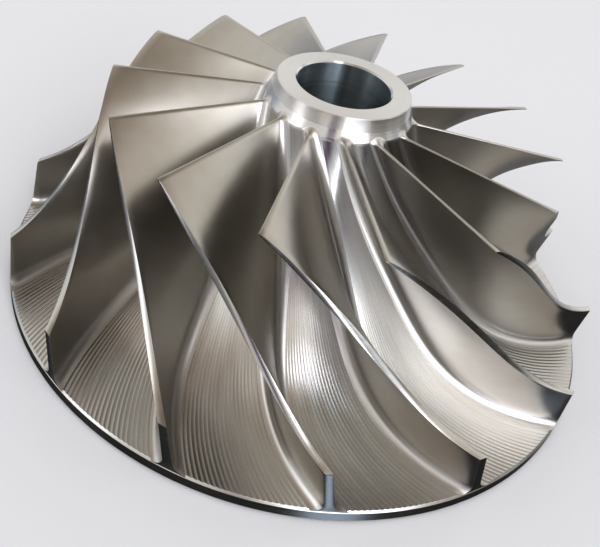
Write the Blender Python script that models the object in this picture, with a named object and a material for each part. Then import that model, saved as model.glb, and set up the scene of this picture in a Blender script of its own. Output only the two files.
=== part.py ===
"""Open centrifugal impeller with fourteen full-length backswept blades, milled from one forging.

Metres, +Z up along the shaft towards the inlet nose. The origin is the centre of the flat back face.
Each blade is a ruled surface: straight lines join its root curve on the hub to its outer curve.
"""

import math

import bmesh
import bpy
from mathutils import Matrix, Vector

# Overall sizes
BLADE_COUNT = 14
OUTLET_RADIUS = 0.150
RIM_THICKNESS = 0.0062
RIM_CHAMFER = 0.0008
OUTLET_HEIGHT = 0.030  # top of the blades at the rim

# Nose collar and bore
NOSE_HEIGHT = 0.119
NOSE_RADIUS = 0.0323
NOSE_EDGE_BREAK = 0.0004
COLLAR_FOOT = (0.0332, 0.1128)  # radius and height of the collar's lower edge
SHOULDER_BEND = (0.0362, 0.1112)  # draws the shoulder below the collar out to the hub
BORE_RADIUS = 0.0225
BORE_CHAMFER = 0.0008

# Inlet ends of the blades
INLET_TIP_RADIUS = 0.1096
INLET_TIP_HEIGHT = 0.1035
INLET_ROOT_RADIUS = 0.0371
INLET_ROOT_HEIGHT = 0.1084

# Curves of radius and height, from the inlet to the outlet: end points and the points that pull them
HUB_CURVE = (
    (INLET_ROOT_RADIUS, INLET_ROOT_HEIGHT),
    (0.0451, 0.0638),
    (0.0825, 0.0422),
    (0.0832, RIM_THICKNESS),
    (OUTLET_RADIUS, RIM_THICKNESS),
)
OUTER_CURVE = (
    (INLET_TIP_RADIUS, INLET_TIP_HEIGHT),
    (0.1106, 0.0778),
    (0.1216, 0.0366),
    (OUTLET_RADIUS, OUTLET_HEIGHT),
)

# Wrap of a blade round the shaft, in degrees from its inlet tip, along the same two curves
ROOT_WRAP = (-7.0, 41.5, 24.0, 48.6)
OUTER_WRAP = (0.0, 25.0, 37.0, 46.5)

# Blade section
INLET_THICKNESS = 0.0016
OUTER_THICKNESS = 0.0028
ROOT_THICKNESS = 0.0036
THICK_BY = 0.2  # share of the blade's length over which it reaches full thickness
ROOT_FILLET = 0.0045
ROOT_GAP = 0.0004

# Fineness
TURNED_STEPS = 6 * BLADE_COUNT
HUB_POINTS = 20
BLADE_STATIONS = 14


def on_curve(points, share):
    """The point of a Bezier curve at a share of its length, for plain numbers or for tuples."""
    if not isinstance(points[0], tuple):
        return on_curve([(value,) for value in points], share)[0]
    degree = len(points) - 1
    weights = [
        math.comb(degree, i) * (1 - share) ** (degree - i) * share**i
        for i in range(degree + 1)
    ]
    return tuple(
        sum(weight * point[axis] for weight, point in zip(weights, points))
        for axis in range(len(points[0]))
    )


def at_angle(radius, height, degrees):
    angle = math.radians(degrees)
    return Vector((radius * math.cos(angle), radius * math.sin(angle), height))


def camber_point(along, up):
    """A point on the blade's middle surface: along from inlet to outlet, up from root to outer edge."""
    root = at_angle(*on_curve(HUB_CURVE, along), on_curve(ROOT_WRAP, along))
    outer = at_angle(*on_curve(OUTER_CURVE, along), on_curve(OUTER_WRAP, along))
    return root.lerp(outer, up)


def camber_normal(along, up):
    step = 0.002
    before = max(along - step, 0.0)
    after = min(along + step, 1.0)
    lengthwise = camber_point(after, up) - camber_point(before, up)
    spanwise = camber_point(along, 1.0) - camber_point(along, 0.0)
    return lengthwise.cross(spanwise).normalized()


def blade_thickness(along, up):
    full = ROOT_THICKNESS + (OUTER_THICKNESS - ROOT_THICKNESS) * up
    ramp = min(along / THICK_BY, 1.0)
    ramp = ramp * (2 - ramp)
    return INLET_THICKNESS + (full - INLET_THICKNESS) * ramp


def fillet_width(height):
    """How far the concave root fillet stands out from the blade at this height above the hub."""
    if height >= ROOT_FILLET:
        return 0.0
    return ROOT_FILLET - math.sqrt(ROOT_FILLET**2 - (ROOT_FILLET - height) ** 2)


def blade_point(along, height, side):
    """A point of the blade's skin at this height above the hub. Side is -1, 0 or 1."""
    span = (camber_point(along, 1.0) - camber_point(along, 0.0)).length
    height = min(height, span)
    up = height / span
    middle = camber_point(along, up)
    half = blade_thickness(along, up) / 2 + fillet_width(height)
    around = Vector((-middle.y, middle.x, 0.0))
    radius = around.length
    across = abs(camber_normal(along, up).dot(around / radius))
    turn = side * half / (across * radius)
    return Matrix.Rotation(turn, 3, "Z") @ middle


def blade_section(along):
    """The closed outline of the blade across its length, up one side and down the other."""
    span = (camber_point(along, 1.0) - camber_point(along, 0.0)).length
    heights = (ROOT_GAP, ROOT_FILLET * 0.3, ROOT_FILLET, span / 2, span)
    rising = [blade_point(along, height, -1) for height in heights]
    falling = [blade_point(along, height, 1) for height in reversed(heights)]
    return [blade_point(along, ROOT_GAP, 0), *rising, *falling]


def hub_profile():
    """Radius and height round the turned section, from the back face out to the rim and up to the nose."""
    back = [
        (BORE_RADIUS + BORE_CHAMFER, 0.0),
        (OUTLET_RADIUS - RIM_CHAMFER, 0.0),
        (OUTLET_RADIUS, RIM_CHAMFER),
        (OUTLET_RADIUS, RIM_THICKNESS - RIM_CHAMFER),
        (OUTLET_RADIUS - RIM_CHAMFER, RIM_THICKNESS),
    ]
    flare = [on_curve(HUB_CURVE, 1 - i / HUB_POINTS) for i in range(1, HUB_POINTS + 1)]
    shoulder_curve = ((INLET_ROOT_RADIUS, INLET_ROOT_HEIGHT), SHOULDER_BEND, COLLAR_FOOT)
    shoulder = [on_curve(shoulder_curve, i / 3) for i in (1, 2, 3)]
    nose = [
        (NOSE_RADIUS, NOSE_HEIGHT - NOSE_EDGE_BREAK),
        (NOSE_RADIUS - NOSE_EDGE_BREAK, NOSE_HEIGHT),
        (BORE_RADIUS + BORE_CHAMFER, NOSE_HEIGHT),
        (BORE_RADIUS, NOSE_HEIGHT - BORE_CHAMFER),
        (BORE_RADIUS, BORE_CHAMFER),
    ]
    return back + flare + shoulder + nose


def metal(name, colour, roughness):
    material = bpy.data.materials.new(name)
    material.use_nodes = True
    shader = material.node_tree.nodes["Principled BSDF"]
    shader.inputs["Base Color"].default_value = (*colour, 1.0)
    shader.inputs["Metallic"].default_value = 1.0
    shader.inputs["Roughness"].default_value = roughness
    return material


def finished_mesh(bm, name, material):
    bmesh.ops.recalc_face_normals(bm, faces=bm.faces)
    mesh = bpy.data.meshes.new(name)
    bm.to_mesh(mesh)
    bm.free()
    mesh.materials.append(material)
    mesh.shade_smooth()
    mesh.set_sharp_from_angle(angle=math.radians(30))
    return mesh


def hub_mesh(material):
    bm = bmesh.new()
    corners = [bm.verts.new((radius, 0.0, height)) for radius, height in hub_profile()]
    edges = [bm.edges.new(pair) for pair in zip(corners, corners[1:] + corners[:1])]
    bmesh.ops.spin(
        bm,
        geom=corners + edges,
        cent=(0.0, 0.0, 0.0),
        axis=(0.0, 0.0, 1.0),
        angle=2 * math.pi,
        steps=TURNED_STEPS,
        use_merge=True,
    )
    return finished_mesh(bm, "hub", material)


def blade_mesh(material):
    bm = bmesh.new()
    loops = []
    for station in range(BLADE_STATIONS + 1):
        corners = [bm.verts.new(point) for point in blade_section(station / BLADE_STATIONS)]
        edges = [bm.edges.new(pair) for pair in zip(corners, corners[1:] + corners[:1])]
        loops.append((corners, edges))
    for (_, edges), (_, next_edges) in zip(loops, loops[1:]):
        bmesh.ops.bridge_loops(bm, edges=edges + next_edges)
    for corners, _ in (loops[0], loops[-1]):
        bm.faces.new(corners)
    return finished_mesh(bm, "blade", material)


def place(name, mesh, turn=0.0):
    piece = bpy.data.objects.new(name, mesh)
    piece.rotation_euler.z = turn
    bpy.context.scene.collection.objects.link(piece)


for old in list(bpy.data.objects):
    bpy.data.objects.remove(old)

place("hub", hub_mesh(metal("turned_bright_steel", (0.62, 0.61, 0.58), 0.25)))
one_blade = blade_mesh(metal("milled_satin_steel", (0.56, 0.53, 0.47), 0.33))
pitch = 2 * math.pi / BLADE_COUNT
for number in range(BLADE_COUNT):
    place(f"blade_{number + 1:02d}", one_blade, (number + 0.5) * pitch)
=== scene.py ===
"""Open centrifugal impeller with fourteen backswept blades, milled from one steel forging.

Metres. +Z runs up the shaft axis towards the inlet nose.
The origin is the centre of the flat back face.
"""
import math

import bmesh
import bpy
from mathutils import Matrix, Vector


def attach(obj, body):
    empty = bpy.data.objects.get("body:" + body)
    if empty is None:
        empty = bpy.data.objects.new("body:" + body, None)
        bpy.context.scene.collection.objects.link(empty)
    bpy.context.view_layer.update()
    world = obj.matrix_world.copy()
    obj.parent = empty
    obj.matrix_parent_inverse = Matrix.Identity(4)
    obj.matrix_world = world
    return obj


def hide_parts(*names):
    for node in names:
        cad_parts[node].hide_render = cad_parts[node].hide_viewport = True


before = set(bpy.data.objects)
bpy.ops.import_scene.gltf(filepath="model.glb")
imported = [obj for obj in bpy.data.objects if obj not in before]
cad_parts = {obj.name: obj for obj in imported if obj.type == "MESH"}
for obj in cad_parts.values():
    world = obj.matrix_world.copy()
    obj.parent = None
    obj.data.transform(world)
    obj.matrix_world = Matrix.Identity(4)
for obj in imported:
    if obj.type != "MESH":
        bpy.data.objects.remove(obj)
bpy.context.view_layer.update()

# ---------------------------------------------------------------------------
# Camera. It looks down on the wheel from the front, a little left of the first
# blade, held slightly askew, from where the whole rim just fits the picture.
CAMERA_PLACE = (-0.10438, -0.34097, 0.29301)
CAMERA_TURN = (54.908, -9.4608, -5.1695)
CAMERA_LENS = 50.197
CAMERA_SENSOR = 36.0
CAMERA_SHIFT = (0.0813, -0.1370)  # the photo is cropped, so its middle is not the lens's
CAMERA_NEAR = 0.01

camera = bpy.data.objects.new("view", bpy.data.cameras.new("view"))
camera.data.lens = CAMERA_LENS
camera.data.sensor_width = CAMERA_SENSOR
camera.data.sensor_fit = "HORIZONTAL"
camera.data.shift_x, camera.data.shift_y = CAMERA_SHIFT
camera.data.clip_start = CAMERA_NEAR
camera.location = CAMERA_PLACE
camera.rotation_euler = [math.radians(angle) for angle in CAMERA_TURN]
bpy.context.scene.collection.objects.link(camera)
bpy.context.scene.camera = camera

# ---------------------------------------------------------------------------
# Floor. A plain pale sheet under the wheel, wide enough to fill every view. The
# polished metal doesn't mirror it.
SHEET_REACH = 4.0
SHEET_DROP = 0.0002
SHEET_COLOUR = (0.62, 0.63, 0.66)
SHEET_ROUGHNESS = 0.9

sheet_bm = bmesh.new()
bmesh.ops.create_grid(sheet_bm, x_segments=1, y_segments=1, size=SHEET_REACH)
bmesh.ops.translate(sheet_bm, verts=sheet_bm.verts, vec=(0.0, 0.0, -SHEET_DROP))
sheet_mesh = bpy.data.meshes.new("pale_floor")
sheet_bm.to_mesh(sheet_mesh)
sheet_bm.free()
sheet_paint = bpy.data.materials.new("pale_floor")
sheet_paint.use_nodes = True
sheet_shader = sheet_paint.node_tree.nodes["Principled BSDF"]
sheet_shader.inputs["Base Color"].default_value = (*SHEET_COLOUR, 1.0)
sheet_shader.inputs["Roughness"].default_value = SHEET_ROUGHNESS
sheet_mesh.materials.append(sheet_paint)
floor = bpy.data.objects.new("pale_floor", sheet_mesh)
bpy.context.scene.collection.objects.link(floor)
floor.visible_glossy = False

# ---------------------------------------------------------------------------
# Light. A plain pale room with soft panels of light standing round it. All of
# it stands on the world, so the wheel is lit the same for every view. One wide
# lamp overhead keeps the floor pale and is not mirrored.
ROOM_STEPS = (  # height in degrees above the horizon, and the room's colour there
    (-90.0, (0.015, 0.015, 0.015)),
    (-30.0, (0.03, 0.03, 0.03)),
    (-14.0, (0.42, 0.43, 0.46)),
    (6.0, (0.92, 0.94, 0.99)),
    (28.0, (1.10, 1.09, 1.06)),
    (46.0, (0.97, 0.92, 0.86)),
    (62.0, (0.71, 0.645, 0.57)),
    (77.0, (0.50, 0.43, 0.35)),
    (90.0, (0.44, 0.37, 0.29)),
)
# In degrees: azimuth and height of the middle, half width, half height, lean and
# width of the soft edge. The lean is in degrees to the side for each one upwards.
# Last comes colour times strength.
PANELS = (
    (-69.0, 24.5, 18.0, 14.5, 0.2, 6.0, (2.4, 2.47, 2.7)),
    (-71.0, 53.0, 13.0, 10.0, 0.0, 4.0, (3.5, 3.65, 4.15)),
    (-85.0, 5.0, 4.5, 32.0, 0.0, 2.0, (3.0, 3.1, 3.3)),
    (-96.0, 40.0, 12.0, 4.0, 0.0, 5.0, (0.30, 0.30, 0.31)),
    (-167.0, 8.0, 9.0, 34.0, 0.1, 4.0, (1.2, 1.2, 1.25)),
    (-40.0, 38.0, 9.0, 5.0, 0.0, 4.0, (0.40, 0.40, 0.38)),
    (-6.0, 28.0, 14.0, 8.0, 0.0, 5.0, (0.20, 0.20, 0.20)),
    (36.0, 16.0, 12.0, 12.0, 0.0, 5.0, (0.22, 0.21, 0.20)),
    (50.0, -30.0, 22.0, 20.0, 0.0, 8.0, (0.20, 0.20, 0.21)),
    (-125.0, -1.0, 3.0, 5.0, 0.0, 2.0, (1.3, 1.1, 0.6)),
    (-68.0, -50.0, 12.0, 8.0, 0.0, 4.0, (0.70, 0.85, 1.10)),
    (118.0, 62.0, 7.0, 7.0, 0.0, 3.0, (0.45, 0.41, 0.37)),
)
# The same for the darker corners of the room, with the share of light that each leaves
SHADES = (
    (-107.0, 11.0, 6.5, 27.0, 0.0, 3.0, (0.17, 0.11, 0.20)),
    (-30.0, -8.0, 30.0, 20.0, 0.0, 7.0, (0.10, 0.09, 0.08)),
    (-34.0, 11.0, 16.0, 14.0, 0.0, 4.0, (0.45, 0.42, 0.38)),
    (4.0, -8.0, 20.0, 13.0, 0.0, 4.0, (0.40, 0.38, 0.34)),
    (16.0, 15.0, 9.0, 10.0, 0.0, 4.0, (0.50, 0.48, 0.44)),
    (-136.0, 6.0, 12.0, 18.0, 0.0, 7.0, (0.55, 0.55, 0.56)),
    (128.0, 0.0, 22.0, 22.0, 0.0, 9.0, (0.55, 0.58, 0.65)),
    (92.0, 68.0, 50.0, 20.0, 0.0, 12.0, (0.42, 0.41, 0.40)),
    (-165.0, 68.0, 40.0, 16.0, 0.0, 10.0, (0.72, 0.70, 0.68)),
)
VIEW_GAMMA = 0.88
WASH_HEIGHT = 2.2
WASH_SIZE = 3.0
WASH_POWER = 25.0


def add_node(tree, kind, inputs=(), **settings):
    """Adds a node and sets or links its inputs, given as name and value or socket."""
    node = tree.nodes.new(kind)
    for name, value in settings.items():
        setattr(node, name, value)
    for name, value in dict(inputs).items():
        if isinstance(value, bpy.types.NodeSocket):
            tree.links.new(value, node.inputs[name])
        else:
            node.inputs[name].default_value = value
    return node


def reckon(tree, operation, *values):
    inputs = dict(enumerate(values))
    return add_node(tree, "ShaderNodeMath", inputs, operation=operation).outputs[0]


def reckon_vector(tree, operation, *values):
    inputs = dict(enumerate(values))
    return add_node(tree, "ShaderNodeVectorMath", inputs, operation=operation)


def ramped(tree, value, start, stop, low=0.0, high=1.0):
    """Takes a value from start to stop over to low to high, and holds it beyond them."""
    inputs = {
        "Value": value,
        "From Min": start,
        "From Max": stop,
        "To Min": low,
        "To Max": high,
    }
    node = add_node(tree, "ShaderNodeMapRange", inputs, interpolation_type="SMOOTHSTEP")
    return node.outputs["Result"]


world = bpy.data.worlds.new("studio")
bpy.context.scene.world = world
world.use_nodes = True
sky = world.node_tree
way_out = add_node(sky, "ShaderNodeTexCoord").outputs["Generated"]
way_out = add_node(sky, "ShaderNodeSeparateXYZ", {0: way_out})
azimuth = reckon(sky, "ARCTAN2", way_out.outputs["Y"], way_out.outputs["X"])
rise = reckon(sky, "ARCSINE", way_out.outputs["Z"])
share_up = reckon(sky, "MULTIPLY_ADD", rise, 1 / math.pi, 0.5)
room = add_node(sky, "ShaderNodeValToRGB", {"Fac": share_up})
steps = room.color_ramp.elements
while len(steps) < len(ROOM_STEPS):
    steps.new(0.5)
for step, (height, colour) in zip(steps, ROOM_STEPS):
    step.position = height / 180 + 0.5  # the ramp goes from straight down to straight up
    step.color = (*colour, 1.0)
glow = room.outputs["Color"]


def inside_panel(turn, height, half_width, half_height, lean, edge):
    """1 inside a panel of light on the world, fading to 0 across its soft edge."""
    above = reckon(sky, "SUBTRACT", rise, math.radians(height))
    beside = reckon(sky, "SUBTRACT", azimuth, math.radians(turn))
    beside = reckon(sky, "SUBTRACT", beside, reckon(sky, "MULTIPLY", above, lean))
    beside = reckon(sky, "WRAP", beside, math.pi, -math.pi)
    shares = []
    for offset, half in ((beside, half_width), (above, half_height)):
        outside = reckon(sky, "ABSOLUTE", offset)
        limits = math.radians(half + edge), math.radians(half - edge)
        shares.append(ramped(sky, outside, *limits))
    return reckon(sky, "MULTIPLY", *shares)


for *panel, colour in PANELS:
    lit = reckon_vector(sky, "MULTIPLY_ADD", inside_panel(*panel), colour, glow)
    glow = lit.outputs[0]
for *panel, colour in SHADES:
    taken = tuple(share - 1.0 for share in colour)
    kept = reckon_vector(sky, "MULTIPLY_ADD", inside_panel(*panel), taken, (1.0, 1.0, 1.0))
    glow = reckon_vector(sky, "MULTIPLY", glow, kept.outputs[0]).outputs[0]
sky.links.new(glow, sky.nodes["Background"].inputs["Color"])
bpy.context.scene.view_settings.view_transform = "Standard"
bpy.context.scene.view_settings.gamma = VIEW_GAMMA

wash = bpy.data.objects.new("floor_wash", bpy.data.lights.new("floor_wash", "AREA"))
wash.data.size = WASH_SIZE
wash.data.energy = WASH_POWER
wash.location.z = WASH_HEIGHT
wash.visible_glossy = False
bpy.context.scene.collection.objects.link(wash)

# ---------------------------------------------------------------------------
# Wheel body. The turned part of the forging: nose ring, collar, bore, back and
# rim. The lathe leaves fine rings, and every outer corner is lightly broken.
OUTLET_RADIUS = 0.150
RIM_THICKNESS = 0.0062
RIM_CHAMFER = 0.0008
BODY_CHAMFER = 0.8  # share of the rim's upper chamfer that the turned body shows
NOSE_HEIGHT = 0.119
NOSE_RADIUS = 0.0323
NOSE_BREAK = 0.0004
COLLAR_FOOT = (0.0332, 0.1127)  # radius and height of the collar's lower edge
SHOULDER_BEND = (0.0341, 0.1110)
INLET_ROOT = (0.0356, 0.1088)
BORE_RADIUS = 0.0225
BORE_CHAMFER = 0.0008
BLADE_COUNT = 14
PITCH = 360.0 / BLADE_COUNT
# Radius, height and wrap in degrees, from the inlet to the rim: the two ends of
# the curve, and between them the points that pull it
ROOT_LINE = (
    (*INLET_ROOT, -7.0),
    (0.0451, 0.0638, 29.375),
    (0.0825, 0.0422, 32.75),
    (0.0832, RIM_THICKNESS, 30.15),
    (OUTLET_RADIUS, RIM_THICKNESS, 48.6),
)
SHOULDER_LINE = (
    (*INLET_ROOT, -7.0),
    (*SHOULDER_BEND, -7.0),
    (*COLLAR_FOOT, -7.0),
)
# From here on, places along the wheel are shares of the root line's length. The
# inlet root is at 0, the rim at 1, and the shoulder lies below 0.
SHOULDER_REACH = 0.0243
CURVE_STEP = 0.002  # half the stretch over which a slope is taken
FLOOR_START = 0.008  # where the milled floors begin to cover the turned body
COVERED_FROM = 0.03  # from here to the rim the body lies well under the floors
COVER_FADE = 0.004
FLOOR_COVER = 0.0003
START_COVER = FLOOR_COVER / 30
COVERED_STATIONS = 40
SHOULDER_STATIONS = 15
SHOULDER_PROUD = 0.00005  # the turned shoulder stands this much above the milled fillets
PROUD_BY = 0.01  # and reaches it this far above the inlet root
TURNED_STEPS = 16 * BLADE_COUNT
TURNED_COLOUR = (0.59, 0.58, 0.555)
# The bore is the same steel, but its colour is darker and bluer: painted shade inside the hole.
BORE_SHADED_COLOUR = (0.27, 0.32, 0.35)
LATHE_FEED = 0.00016  # pitch of the lines that the turning tool leaves
BAND_PITCH = 9 * LATHE_FEED
ROUGH_CHANGE = 0.12  # share by which the roughness differs from ring to ring
TURNED_TONE = 0.08
DARKENING = (0.85, 1.0, 1.2)  # how much red, green and blue give way in darker patches
CLOUD_RANGE = (0.3, 0.7)  # clouds and lines seldom leave these values
RING_TURN = 0.25  # turns the spread of the gloss across the rings
FLAT_FROM = 0.99  # faces that look this much up or down get the finish of the nose ring
BORE_FROM = 0.9  # and those that look this much at the shaft get the bore's
INNER_FROM = 0.5
BODY_CREASE = 30.0
MIX_FIRST, MIX_SECOND, MIX_RESULT = 6, 7, 2  # the colour sockets of a Mix node


def on_curve(points, share):
    """The point at a share of the way along the curve that these points pull."""
    points = [Vector(point) for point in points]
    while len(points) > 1:
        points = [a.lerp(b, share) for a, b in zip(points, points[1:])]
    return points[0]


def root_point(along):
    """Radius, height and wrap on the hub's flow surface. Below 0 lies the shoulder."""
    if along >= 0:
        return on_curve(ROOT_LINE, along)
    return on_curve(SHOULDER_LINE, min(-along / SHOULDER_REACH, 1.0))


def hub_slope(along):
    """Unit normal of the flow surface in the plane of radius and height."""
    before = root_point(max(along - CURVE_STEP, -SHOULDER_REACH))
    after = root_point(min(along + CURVE_STEP, 1.0))
    way = after - before
    return Vector((-way.y, way.x)).normalized()


def turned_outline():
    """Radius and height round the turned section, from the back face out and up to the nose."""
    back = [
        (BORE_RADIUS + BORE_CHAMFER, 0.0),
        (OUTLET_RADIUS - RIM_CHAMFER, 0.0),
        (OUTLET_RADIUS, RIM_CHAMFER),
        (OUTLET_RADIUS, RIM_THICKNESS - RIM_CHAMFER),
        (
            OUTLET_RADIUS - RIM_CHAMFER * BODY_CHAMFER,
            RIM_THICKNESS - RIM_CHAMFER * (1 - BODY_CHAMFER),
        ),
    ]
    covered = []
    for i in range(1, COVERED_STATIONS + 1):
        along = 1 - i / COVERED_STATIONS * (1 - COVERED_FROM)
        covered.append(root_point(along).xy - hub_slope(along) * FLOOR_COVER)
    along = FLOOR_START + COVER_FADE
    covered.append(root_point(along).xy - hub_slope(along) * START_COVER)
    shoulder = []
    for i in range(SHOULDER_STATIONS + 1):
        along = FLOOR_START - (FLOOR_START + SHOULDER_REACH) * i / SHOULDER_STATIONS
        proud = SHOULDER_PROUD * min(max(-along / PROUD_BY, 0.0), 1.0)
        shoulder.append(root_point(along).xy + hub_slope(along) * proud)
    shoulder[-1] = COLLAR_FOOT
    nose = [
        (NOSE_RADIUS, NOSE_HEIGHT - NOSE_BREAK),
        (NOSE_RADIUS - NOSE_BREAK, NOSE_HEIGHT),
        (BORE_RADIUS + BORE_CHAMFER, NOSE_HEIGHT),
        (BORE_RADIUS, NOSE_HEIGHT - BORE_CHAMFER),
        (BORE_RADIUS, BORE_CHAMFER),
    ]
    return back + [tuple(point) for point in covered + shoulder] + nose


def smooth_mesh(bm, name, materials, crease):
    """Turns a bmesh into a smooth shaded mesh, with edges over the crease angle left sharp."""
    mesh = bpy.data.meshes.new(name)
    bm.to_mesh(mesh)
    bm.free()
    for material in materials:
        mesh.materials.append(material)
    mesh.shade_smooth()
    mesh.set_sharp_from_angle(angle=math.radians(crease))
    return mesh


def shown_piece(mesh, name, replaced):
    """Adds the mesh to the wheel, as a piece that stands for this node of the solids."""
    piece = bpy.data.objects.new(name, mesh)
    bpy.context.scene.collection.objects.link(piece)
    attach(piece, "root")
    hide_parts(replaced)


def bare_metal(name, colour, roughness):
    material = bpy.data.materials.new(name)
    material.use_nodes = True
    shader = material.node_tree.nodes["Principled BSDF"]
    shader.inputs["Base Color"].default_value = (*colour, 1.0)
    shader.inputs["Metallic"].default_value = 1.0
    shader.inputs["Roughness"].default_value = roughness
    return material, shader


def clouds(tree, place, scale, detail=3.0):
    """Soft irregular patches, about 0.5 on average. The scale is in patches to the metre."""
    inputs = {"Vector": place, "Scale": scale, "Detail": detail}
    return add_node(tree, "ShaderNodeTexNoise", inputs).outputs["Fac"]


def fine_lines(tree, distance, pitch):
    """Irregular lines about this far apart, across a distance in metres."""
    inputs = {"W": reckon(tree, "DIVIDE", distance, pitch), "Scale": 1.0, "Detail": 2.0}
    return add_node(tree, "ShaderNodeTexNoise", inputs, noise_dimensions="1D").outputs["Fac"]


def blended(tree, first, second, share):
    """The first value times the share, and the second times what it leaves."""
    rest = reckon(tree, "MULTIPLY", second, 1 - share)
    return reckon(tree, "MULTIPLY_ADD", first, share, rest)


def toned(tree, colour, share, depth):
    """A colour that darkens by this depth, and warms a little, as the share falls from 1 to 0."""
    dark = [part * (1 - depth * loss) for part, loss in zip(colour, DARKENING)]
    shades = add_node(tree, "ShaderNodeValToRGB", {"Fac": share})
    shades.color_ramp.elements[0].color = (*dark, 1.0)
    shades.color_ramp.elements[1].color = (*colour, 1.0)
    return shades.outputs["Color"]


def mixed(tree, first, second, share, way="MIX"):
    """Fades the first colour to the second, or to their product, as the share rises to 1."""
    inputs = {"Factor": share, MIX_FIRST: first, MIX_SECOND: second}
    node = add_node(tree, "ShaderNodeMix", inputs, data_type="RGBA", blend_type=way)
    return node.outputs[MIX_RESULT]


def raise_lines(tree, shader, height, depth):
    """Bumps the surface by this height, 0 to 1, times a depth in metres."""
    inputs = {"Height": height, "Distance": depth}
    bump = add_node(tree, "ShaderNodeBump", inputs)
    tree.links.new(bump.outputs["Normal"], shader.inputs["Normal"])


def turned_finish(name, colour, rough, spread, line_depth):
    """A surface that a lathe has cut. Fine rings round the shaft spread its gloss."""
    material, shader = bare_metal(name, colour, rough)
    tree = material.node_tree
    place = add_node(tree, "ShaderNodeTexCoord").outputs["Object"]
    parts = add_node(tree, "ShaderNodeSeparateXYZ", {0: place})
    flat = reckon_vector(tree, "MULTIPLY", place, (1.0, 1.0, 0.0))
    radius = reckon_vector(tree, "LENGTH", flat.outputs[0]).outputs["Value"]
    distance = reckon(tree, "ADD", radius, parts.outputs["Z"])
    bands = fine_lines(tree, distance, BAND_PITCH)
    worn = blended(tree, bands, clouds(tree, place, scale=60.0), 0.5)
    limits = rough * (1 - ROUGH_CHANGE), rough * (1 + ROUGH_CHANGE)
    tree.links.new(ramped(tree, worn, *CLOUD_RANGE, *limits), shader.inputs["Roughness"])
    coloured = toned(tree, colour, ramped(tree, worn, *CLOUD_RANGE), TURNED_TONE)
    tree.links.new(coloured, shader.inputs["Base Color"])
    if line_depth:
        raise_lines(tree, shader, fine_lines(tree, distance, LATHE_FEED), line_depth)
    if spread:
        shader.inputs["Anisotropic"].default_value = spread
        shader.inputs["Anisotropic Rotation"].default_value = RING_TURN
        ring_way = reckon_vector(tree, "CROSS_PRODUCT", (0.0, 0.0, 1.0), place)
        tree.links.new(ring_way.outputs[0], shader.inputs["Tangent"])
    return material


turned_face = turned_finish(
    "turned_face", (0.71, 0.705, 0.69), rough=0.34, spread=0.4, line_depth=1.2e-6
)
turned_collar = turned_finish(
    "turned_collar", (0.77, 0.76, 0.74), rough=0.34, spread=1.0, line_depth=4e-7
)
# The bore's finish is honed; its dark, bluish colour is painted shade.
honed_bore_painted_shade = turned_finish("honed_bore_painted_shade", BORE_SHADED_COLOUR, rough=0.36, spread=1.0, line_depth=0.0)
turned_shoulder = turned_finish(
    "turned_shoulder", (0.68, 0.67, 0.655), rough=0.20, spread=0.9, line_depth=3e-7
)
ground_rim = turned_finish("ground_rim", TURNED_COLOUR, rough=0.24, spread=0.6, line_depth=3e-7)
bright_chamfer = turned_finish(
    "bright_chamfer", (0.66, 0.67, 0.69), rough=0.16, spread=0.5, line_depth=2e-7
)
BODY_FINISHES = (
    turned_face,
    turned_collar,
    honed_bore_painted_shade,
    turned_shoulder,
    ground_rim,
    bright_chamfer,
)


def body_finish(face):
    middle = face.calc_center_median()
    inward = -face.normal.xy.dot(middle.xy.normalized())
    if abs(face.normal.z) > FLAT_FROM:
        return turned_face
    if inward > BORE_FROM:
        return honed_bore_painted_shade
    if inward > INNER_FROM:
        return bright_chamfer
    if middle.z > COLLAR_FOOT[1]:
        return turned_collar
    if middle.z > RIM_THICKNESS:
        return turned_shoulder
    return ground_rim


body_bm = bmesh.new()
corners = [body_bm.verts.new((radius, 0.0, height)) for radius, height in turned_outline()]
outline = [body_bm.edges.new(pair) for pair in zip(corners, corners[1:] + corners[:1])]
bmesh.ops.spin(
    body_bm,
    geom=corners + outline,
    cent=(0.0, 0.0, 0.0),
    axis=(0.0, 0.0, 1.0),
    angle=2 * math.pi,
    steps=TURNED_STEPS,
    use_merge=True,
)
bmesh.ops.recalc_face_normals(body_bm, faces=body_bm.faces)
for face in body_bm.faces:
    face.material_index = BODY_FINISHES.index(body_finish(face))
body = smooth_mesh(body_bm, "wheel_body", BODY_FINISHES, BODY_CREASE)
shown_piece(body, "wheel_body", "hub")

# ---------------------------------------------------------------------------
# Blades. Each is milled from the solid with the side of the cutter, so straight
# lines join its root to its outer edge, and a ball nose leaves the root fillet.
OUTER_LINE = (
    (0.1096, 0.1035, 0.0),
    (0.1106, 0.0778, 25.0),
    (0.1216, 0.0366, 37.0),
    (OUTLET_RADIUS, 0.030, 46.5),
)
BLADE_LENGTH = 0.165
INLET_ROOT_THICKNESS = 0.0018
INLET_OUTER_THICKNESS = 0.0011
OUTER_THICKNESS = 0.0028
ROOT_THICKNESS = 0.0036
THICK_BY = 0.35  # share of the blade's length over which it reaches full thickness
ROOT_FILLET = 0.0045
FACE_FILLET = 0.85  # the fillets on a blade's face and back at its inlet, in full ones
BACK_FILLET = 0.6
FULL_FILLET_BY = 0.35
NOSE_LENGTH = 0.0013  # the rounded inlet edge, along the blade
INLET_STRETCH = 0.01  # the length of a share at the inlet is measured over this much
NEAR_RIM = 0.99  # past this, directions along the blade are taken backwards
ROOT_DEPTH = 0.00035  # how far the blade's foot reaches below the hub's surface
EDGE_BREAK = 0.00025
EDGE_SEGMENTS = 2
SHARP_FROM = 50.0  # corners over this angle are broken
STATION_BUNCH = 1.25  # above 1 the stations lie closer together near the inlet
FLANK_STATIONS = 84
NOSE_STATIONS = 16
NOSE_SHARE = NOSE_STATIONS / (NOSE_STATIONS + 2 * FLANK_STATIONS)
FILLET_ROWS = 14
FLANK_ROWS = 14
BLADE_CREASE = 40.0
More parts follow.
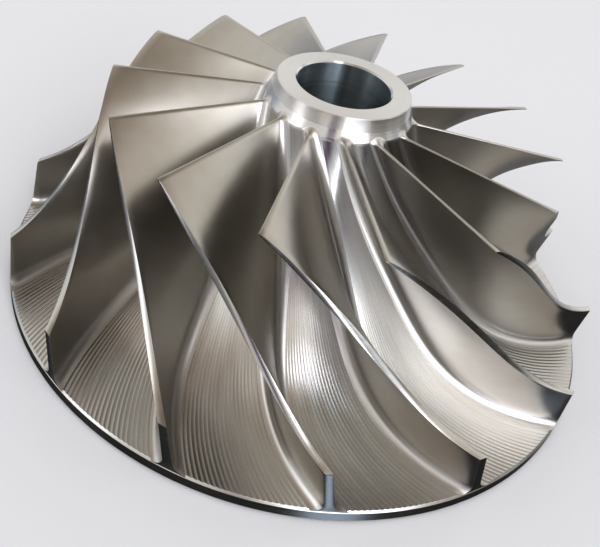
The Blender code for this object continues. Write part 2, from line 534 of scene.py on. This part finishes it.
FLANK_COLOUR = (0.515, 0.495, 0.455)
# The fillets' lighter colour is a painted sheen, not a different steel.
FILLET_SHEEN_COLOUR = (0.60, 0.585, 0.565)
FLANK_TONE = 0.12
FLANK_ROUGH = (0.282, 0.325)
LINE_ROUGH = 0.02  # how much rougher the lines along the flank are
FLANK_FEED = 0.0008  # pitch of those lines
FLANK_WANDER = 0.0012  # how far they wander up and down
CHATTER_PITCH = 0.0021
CHATTER_SHARE = 0.5
FLANK_LINE_DEPTH = 8e-7
SMEAR_SHARE = 0.35  # share of small smears in the unevenness, beside wide patches
FILLET_FADE = (0.5 * ROOT_FILLET, 1.4 * ROOT_FILLET)  # where the fillet's painted sheen and smoother surface give way


def at_angle(radius, height, degrees):
    angle = math.radians(degrees)
    return Vector((radius * math.cos(angle), radius * math.sin(angle), height))


def camber_point(along, up):
    """A point of the blade's middle surface. Below 0 it runs on along the shoulder."""
    root = at_angle(*root_point(along))
    outer = at_angle(*on_curve(OUTER_LINE, max(along, 0.0)))
    if along >= 0:
        return root.lerp(outer, up)
    inlet_root = at_angle(*ROOT_LINE[0])
    return root + (outer - inlet_root) * up


def blade_span(along):
    return (camber_point(along, 1.0) - camber_point(along, 0.0)).length


def blade_thickness(along, up):
    inlet = INLET_ROOT_THICKNESS + (INLET_OUTER_THICKNESS - INLET_ROOT_THICKNESS) * up
    full = ROOT_THICKNESS + (OUTER_THICKNESS - ROOT_THICKNESS) * up
    ramp = min(max(along, 0.0) / THICK_BY, 1.0)
    return inlet + (full - inlet) * ramp * (2 - ramp)


def set_off(along, up, sideways):
    """A point that stands this far to the side of the blade's middle surface."""
    middle = camber_point(along, up)
    stretch = 2 * CURVE_STEP
    if along > NEAR_RIM:
        lengthwise = middle - camber_point(along - stretch, up)
    else:
        first = max(along - CURVE_STEP, 0.0)
        lengthwise = camber_point(first + stretch, up) - camber_point(first, up)
    near = max(along, 0.0)
    spanwise = camber_point(near, 1.0) - camber_point(near, 0.0)
    normal = lengthwise.cross(spanwise).normalized()
    around = Vector((-middle.y, middle.x, 0.0))
    radius = around.length
    turn = sideways / (abs(normal.dot(around / radius)) * radius)
    return Matrix.Rotation(turn, 3, "Z") @ middle


def fillet_radius(along, back):
    """Radius of the root fillet. Back runs from 0 on the blade's face to 1 on its back."""
    ramp = min(max(along, 0.0) / FULL_FILLET_BY, 1.0)
    inlet = FACE_FILLET + (BACK_FILLET - FACE_FILLET) * back
    return ROOT_FILLET * (inlet + (1 - inlet) * ramp * ramp * (3 - 2 * ramp))


def skin_row(row, span, radius):
    """Height above the hub and flare of the fillet, for a row of the blade's skin.
    Row 0 lies below the hub, the next ones go up the fillet and the rest up the flank."""
    if row == 0:
        return -ROOT_DEPTH, radius
    if row <= FILLET_ROWS + 1:
        angle = math.pi / 2 * (row - 1) / FILLET_ROWS
        return radius * (1 - math.cos(angle)), radius * (1 - math.sin(angle))
    return radius + (span - radius) * (row - FILLET_ROWS - 1) / FLANK_ROWS, 0.0


def skin_point(station, row):
    """A point of the blade's skin and its place on the skin, as length and height in metres.
    Station runs from -1 at the rim, on the blade's back, round the inlet edge at 0, to 1."""
    share = max(0.0, (abs(station) - NOSE_SHARE) / (1 - NOSE_SHARE)) ** STATION_BUNCH
    turn = math.pi / 2 * min(max(station / NOSE_SHARE, -1.0), 1.0)
    span = blade_span(share)
    height, flare = skin_row(row, span, fillet_radius(share, (1 - math.sin(turn)) / 2))
    up = max(height, 0.0) / span
    stretch = camber_point(INLET_STRETCH, up) - camber_point(0.0, up)
    inlet_length = stretch.length / INLET_STRETCH
    nose_end = NOSE_LENGTH / inlet_length
    along = nose_end + (1 - nose_end) * share
    if share == 0:
        along -= (nose_end + flare / inlet_length) * math.cos(turn)
    up = min(height / blade_span(max(along, 0.0)), 1.0)
    half = blade_thickness(max(along, nose_end), up) / 2 + flare
    return set_off(along, up, half * math.sin(turn)), (share * BLADE_LENGTH, height)


def close_between(bm, first, second):
    """Joins two rows of vertices that run side by side with a strip of faces."""
    rails = [bm.edges.get(pair) for row in (first, second) for pair in zip(row, row[1:])]
    return bmesh.ops.bridge_loops(bm, edges=rails)["faces"]


def map_skin(bm, spot):
    """Gives every face its place on the skin, from the spot of each of its corners."""
    skin_map = bm.loops.layers.uv.new("skin")
    for face in bm.faces:
        for loop in face.loops:
            loop[skin_map].uv = spot[loop.vert]


def blade_bmesh(finishes):
    """A grid folded round the inlet edge, closed at its foot, outer edge and rim end."""
    bm = bmesh.new()
    across = 2 * FLANK_STATIONS + NOSE_STATIONS
    upward = FILLET_ROWS + FLANK_ROWS + 1
    bmesh.ops.create_grid(bm, x_segments=across, y_segments=upward, size=1.0)
    place = {}
    spot = {}
    for vert in bm.verts:
        column = round((vert.co.x + 1) / 2 * across)
        row = round((vert.co.y + 1) / 2 * upward)
        vert.co, spot[vert] = skin_point(vert.co.x, row)
        place[column, row] = vert
    middle = across // 2
    for row in (0, upward):
        first = [place[column, row] for column in range(middle)]
        second = [place[across - column, row] for column in range(middle)]
        cap = close_between(bm, first, second)
        cap.append(bm.faces.new((first[-1], place[middle, row], second[-1])))
        if row:
            outer_edge = cap
    rim_end = close_between(
        bm,
        [place[0, row] for row in range(upward + 1)],
        [place[across, row] for row in range(upward + 1)],
    )
    for face in outer_edge:
        face.material_index = finishes.index(turned_edge)
    for face in rim_end:
        face.material_index = finishes.index(ground_rim)
    bmesh.ops.recalc_face_normals(bm, faces=bm.faces)
    map_skin(bm, spot)
    below = {place[column, 0] for column in range(across + 1)}
    sharp = [
        edge
        for edge in bm.edges
        if edge.calc_face_angle(0.0) > math.radians(SHARP_FROM) and not below & set(edge.verts)
    ]
    broken = bmesh.ops.bevel(
        bm,
        geom=sharp,
        offset=EDGE_BREAK,
        offset_type="OFFSET",
        segments=EDGE_SEGMENTS,
        profile=0.5,
        affect="EDGES",
        clamp_overlap=True,
        material=-1,
    )
    for face in broken["faces"]:
        face.material_index = finishes.index(broken_corner)
    return bm


def skin_parts(tree):
    """Length and height on the skin, or pass number on a floor, as the X and Y outputs."""
    skin = add_node(tree, "ShaderNodeUVMap", uv_map="skin").outputs["UV"]
    return add_node(tree, "ShaderNodeSeparateXYZ", {0: skin}).outputs


def milled_flank():
    """Satin flanks with faint lines along the blade, and smoother fillets at their foot that are
    painted lighter as a sheen.
    """
    material, shader = bare_metal("milled_flank", FLANK_COLOUR, FLANK_ROUGH[0])
    tree = material.node_tree
    place = add_node(tree, "ShaderNodeTexCoord").outputs["Object"]
    skin = skin_parts(tree)
    wander = reckon(tree, "MULTIPLY", clouds(tree, place, scale=25.0), FLANK_WANDER)
    lines = fine_lines(tree, reckon(tree, "ADD", skin["Y"], wander), FLANK_FEED)
    chatter = fine_lines(tree, skin["X"], CHATTER_PITCH)
    on_flank = ramped(tree, skin["Y"], *FILLET_FADE)
    smears = clouds(tree, place, scale=140.0, detail=5.0)
    uneven = blended(tree, smears, clouds(tree, place, scale=18.0), SMEAR_SHARE)
    flank_rough = ramped(tree, uneven, *CLOUD_RANGE, *FLANK_ROUGH)
    streaked = reckon(tree, "MULTIPLY_ADD", lines, LINE_ROUGH, flank_rough)
    tree.links.new(streaked, shader.inputs["Roughness"])
    satin = toned(tree, FLANK_COLOUR, ramped(tree, uneven, *CLOUD_RANGE), FLANK_TONE)
    # The fillets take a lighter colour than the flanks: a painted sheen.
    coloured = mixed(tree, (*FILLET_SHEEN_COLOUR, 1.0), satin, on_flank)
    tree.links.new(coloured, shader.inputs["Base Color"])
    ridges = reckon(tree, "MULTIPLY_ADD", chatter, CHATTER_SHARE, lines)
    height = reckon(tree, "MULTIPLY", ridges, on_flank)
    raise_lines(tree, shader, height, FLANK_LINE_DEPTH)
    return material


def round_the_wheel(mesh, number):
    """A copy of the mesh, turned to the place of this blade or of the passage after it."""
    mesh = mesh.copy()
    mesh.transform(Matrix.Rotation(math.radians((number - 0.5) * PITCH), 4, "Z"))
    return mesh


flank_steel = milled_flank()
turned_edge = turned_finish("turned_edge", TURNED_COLOUR, rough=0.22, spread=0.9, line_depth=3e-7)
broken_corner = turned_finish(
    "broken_corner", (0.70, 0.68, 0.64), rough=0.20, spread=0.0, line_depth=3e-7
)
BLADE_FINISHES = (flank_steel, turned_edge, broken_corner, ground_rim)
one_blade = smooth_mesh(
    blade_bmesh(BLADE_FINISHES), "blade_skin", BLADE_FINISHES, BLADE_CREASE
)
for number in range(1, BLADE_COUNT + 1):
    mesh = round_the_wheel(one_blade, number)
    shown_piece(mesh, f"milled_blade_{number:02d}", f"blade_{number:02d}")

# ---------------------------------------------------------------------------
# Passage floors. A ball-nosed cutter runs along each passage again and again, a
# step to the side each time, and leaves twenty shallow grooves between the
# fillets. The steps shrink towards the inlet, where the floor is smooth.
CUTTER_PASSES = 20
CUTTER_RADIUS = 0.0028  # less than the fillets', for ridges as clear as in the photo
SAMPLES_A_PASS = 6
FLOOR_STATIONS = 72
FLOOR_EDGE = 0.0005  # the strip of floor that runs on under the fillet's foot
FLOOR_DIP = 0.00002  # and how far it lies below
FLOOR_LIP = 0.3  # share of the rim's upper chamfer that the floor runs down
RIM_PACE = 0.267  # length of the root line to a whole share, at the rim
PASS_GROWTH = 0.04  # how much the passes widen from one side of the floor to the other
SMOOTH_FLOOR_TO = 0.12  # shares of the passage's length between which the ridges grow
FULL_RIDGES_BY = 0.85
FLOOR_CREASE = 35.0
FLOOR_COLOUR = (0.62, 0.615, 0.605)
FLOOR_TONE = 0.14
# Rosy and greenish, as a thin film of oil tints it, and the cloud values for them
FILM_COLOURS = ((1.0, 0.975, 0.975), (0.98, 0.99, 0.985))
FILM_RANGE = (0.35, 0.65)
FLOOR_ROUGH = (0.17, 0.23)  # near the inlet, and from the middle of the passage on
ROUGHER_ALONG = (0.05 * BLADE_LENGTH, 0.5 * BLADE_LENGTH)
FLOOR_ROUGH_CHANGE = 0.03
DRIFT_LENGTH = 0.04  # each pass changes slowly over about this length
PASS_SHIFT = 7.3  # and starts at another place in the same drift
TOOTH_PITCH = 0.0004
TOOTH_DEPTH = 1.2e-6


def foot_turn(along, side):
    """Angle in radians from the middle surface to the foot of the root fillet, on the hub,
    and the distance that it spans. Side is 1 on the blade's face and -1 on its back."""
    half = blade_thickness(along, 0.0) / 2 + fillet_radius(along, (1 - side) / 2)
    foot = set_off(along, 0.0, side * half)
    middle = camber_point(along, 0.0)
    turn = math.atan2(foot.y, foot.x) - math.atan2(middle.y, middle.x)
    return abs(turn), half


def floor_bmesh():
    """A grid from fillet to fillet: a column for each sample of a groove, an edge column
    on either side, a row for each station and a last row down the rim's chamfer."""
    bm = bmesh.new()
    columns = CUTTER_PASSES * SAMPLES_A_PASS + 2
    bmesh.ops.create_grid(bm, x_segments=columns, y_segments=FLOOR_STATIONS + 1, size=1.0)
    rows = {}
    for vert in bm.verts:
        column = round((vert.co.x + 1) / 2 * columns)
        row = round((vert.co.y + 1) / 2 * (FLOOR_STATIONS + 1))
        rows.setdefault(row, []).append((column, vert))
    rim_end = 1 - RIM_CHAMFER / RIM_PACE
    spot = {}
    for row, verts in rows.items():
        share = min(row / FLOOR_STATIONS, 1.0)
        along = FLOOR_START + (rim_end - FLOOR_START) * share
        radius, height, wrap = root_point(along)
        slope = hub_slope(along)
        turn, half = foot_turn(along, 1)
        open_turn = math.radians(PITCH) - turn - foot_turn(along, -1)[0]
        width = open_turn * half / turn
        ridge = (width / CUTTER_PASSES) ** 2 / (8 * CUTTER_RADIUS)
        grown = (along - SMOOTH_FLOOR_TO) / (FULL_RIDGES_BY - SMOOTH_FLOOR_TO)
        ridge *= min(max(grown, 0.0), 1.0) ** 2
        for column, vert in verts:
            step = (column - 1) / (columns - 2)
            inside = min(max(step, 0.0), 1.0)
            across = inside * (1 - PASS_GROWTH + PASS_GROWTH * inside)
            groove = (column - 1 + SAMPLES_A_PASS // 2) % SAMPLES_A_PASS / SAMPLES_A_PASS
            rise = ridge * (2 * groove - 1) ** 2
            if column in (0, columns):
                across += math.copysign(FLOOR_EDGE / width, step - 0.5)
                rise = -FLOOR_DIP
            angle = wrap + math.degrees(turn + across * open_turn)
            out, up = radius + slope.x * rise, height + slope.y * rise
            if row >= FLOOR_STATIONS:
                out = OUTLET_RADIUS - RIM_CHAMFER - (up - RIM_THICKNESS)
            if row > FLOOR_STATIONS:
                out = OUTLET_RADIUS - RIM_CHAMFER * (1 - FLOOR_LIP)
                up = RIM_THICKNESS - RIM_CHAMFER * FLOOR_LIP
            vert.co = at_angle(out, up, angle)
            spot[vert] = (along * BLADE_LENGTH, step * CUTTER_PASSES)
    bmesh.ops.recalc_face_normals(bm, faces=bm.faces)
    map_skin(bm, spot)
    return bm


def milled_floor():
    """Bright grooves that differ a little from pass to pass, and are smoother towards the inlet."""
    material, shader = bare_metal("milled_floor", FLOOR_COLOUR, FLOOR_ROUGH[1])
    tree = material.node_tree
    place = add_node(tree, "ShaderNodeTexCoord").outputs["Object"]
    skin = skin_parts(tree)
    one_pass = reckon(tree, "ROUND", skin["Y"])
    shifted = reckon(tree, "MULTIPLY_ADD", one_pass, PASS_SHIFT, skin["X"])
    drift = fine_lines(tree, shifted, DRIFT_LENGTH)
    uneven = blended(tree, drift, clouds(tree, place, scale=22.0), 0.5)
    base = ramped(tree, skin["X"], *ROUGHER_ALONG, *FLOOR_ROUGH)
    limits = -FLOOR_ROUGH_CHANGE, FLOOR_ROUGH_CHANGE
    roughness = reckon(tree, "ADD", base, ramped(tree, uneven, *CLOUD_RANGE, *limits))
    tree.links.new(roughness, shader.inputs["Roughness"])
    bright = toned(tree, FLOOR_COLOUR, ramped(tree, uneven, *FILM_RANGE), FLOOR_TONE)
    cloud = clouds(tree, place, scale=30.0, detail=1.0)
    film = add_node(tree, "ShaderNodeValToRGB", {"Fac": cloud})
    for step, position, colour in zip(film.color_ramp.elements, FILM_RANGE, FILM_COLOURS):
        step.position = position
        step.color = (*colour, 1.0)
    filmed = mixed(tree, bright, film.outputs["Color"], 1.0, way="MULTIPLY")
    tree.links.new(filmed, shader.inputs["Base Color"])
    raise_lines(tree, shader, fine_lines(tree, skin["X"], TOOTH_PITCH), TOOTH_DEPTH)
    return material


floor_steel = milled_floor()
one_floor = smooth_mesh(floor_bmesh(), "floor_skin", (floor_steel,), FLOOR_CREASE)
for number in range(1, BLADE_COUNT + 1):
    mesh = round_the_wheel(one_floor, number)
    shown_piece(mesh, f"passage_floor_{number:02d}", "hub")
